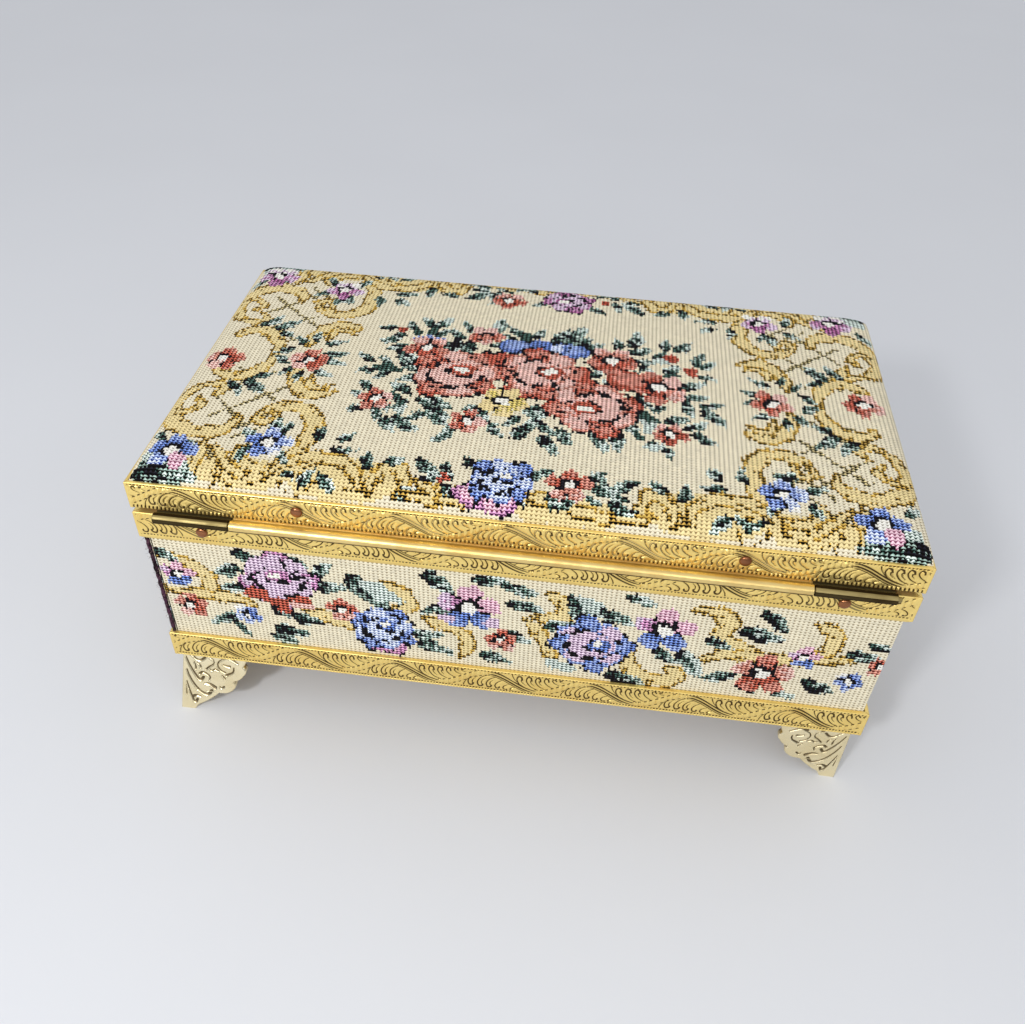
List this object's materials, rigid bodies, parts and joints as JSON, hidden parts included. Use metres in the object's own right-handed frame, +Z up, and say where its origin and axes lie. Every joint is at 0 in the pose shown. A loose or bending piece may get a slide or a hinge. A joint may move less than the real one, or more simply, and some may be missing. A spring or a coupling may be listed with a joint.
{
  "type": "tapestry jewelry box",
  "caption": "Footed rectangular jewelry box covered in woven rose tapestry, with stamped gilt bands, cast corner feet and a padded lid on a long rolled hinge.",
  "frame": {"origin": "bottom centre of the whole outline, on the surface that the feet stand on", "axes": "+X to the right seen from the front, along the length; +Y to the back, where the hinge is; +Z up"},
  "size_m": [0.248, 0.1442, 0.1141],
  "materials": {
    "gilt_band": "stamped thin sheet, yellow gilt, satin to glossy",
    "cast_gilt": "pale gilt casting, glossy",
    "hinge_bronze": "dull bronze, brushed",
    "rivet_copper": "copper brown, worn",
    "steel": "plain wire and screws",
    "tapestry": "woven petit-point roses and scrolls on cream, ribbed",
    "fibreboard": "plain pressed board, matte",
    "velvet": "short-pile velvet on card",
    "wadding": "cotton wadding"
  },
  "bodies": {
    "box": {"base_board": "fibreboard", "wall_front": "fibreboard", "wall_back": "fibreboard", "wall_left": "fibreboard", "wall_right": "fibreboard", "tapestry_wrap": "tapestry", "base_band_front": "gilt_band", "base_band_back": "gilt_band", "base_band_left": "gilt_band", "base_band_right": "gilt_band", "rim_band_front": "gilt_band", "rim_band_back": "gilt_band", "rim_band_left": "gilt_band", "rim_band_right": "gilt_band", "lining_floor": "velvet", "lining_front": "velvet", "lining_back": "velvet", "lining_left": "velvet", "lining_right": "velvet", "foot_back_right": "cast_gilt", "foot_back_left": "cast_gilt", "foot_front_left": "cast_gilt", "foot_front_right": "cast_gilt", "foot_screw_back_right": "steel", "foot_screw_back_left": "steel", "foot_screw_front_left": "steel", "foot_screw_front_right": "steel", "hinge_knuckle_right": "hinge_bronze", "hinge_knuckle_left": "hinge_bronze", "hinge_pin": "steel", "rim_rivet_left": "rivet_copper", "rim_rivet_right": "rivet_copper"},
    "lid": {"lid_band_front": "gilt_band", "lid_band_back": "gilt_band", "lid_band_left": "gilt_band", "lid_band_right": "gilt_band", "lid_board": "fibreboard", "lid_pad": "wadding", "tapestry_top": "tapestry", "lid_lining": "velvet", "hinge_strip": "gilt_band", "lid_rivet_left": "rivet_copper", "lid_rivet_right": "rivet_copper"}
  },
  "joints": [
    {"name": "lid_hinge", "type": "hinge", "parent": "box", "child": "lid", "pos_m": [0, 0.07035, 0.09515], "axis": [-1, 0, 0], "range_deg": [0, 105]}
  ]
}
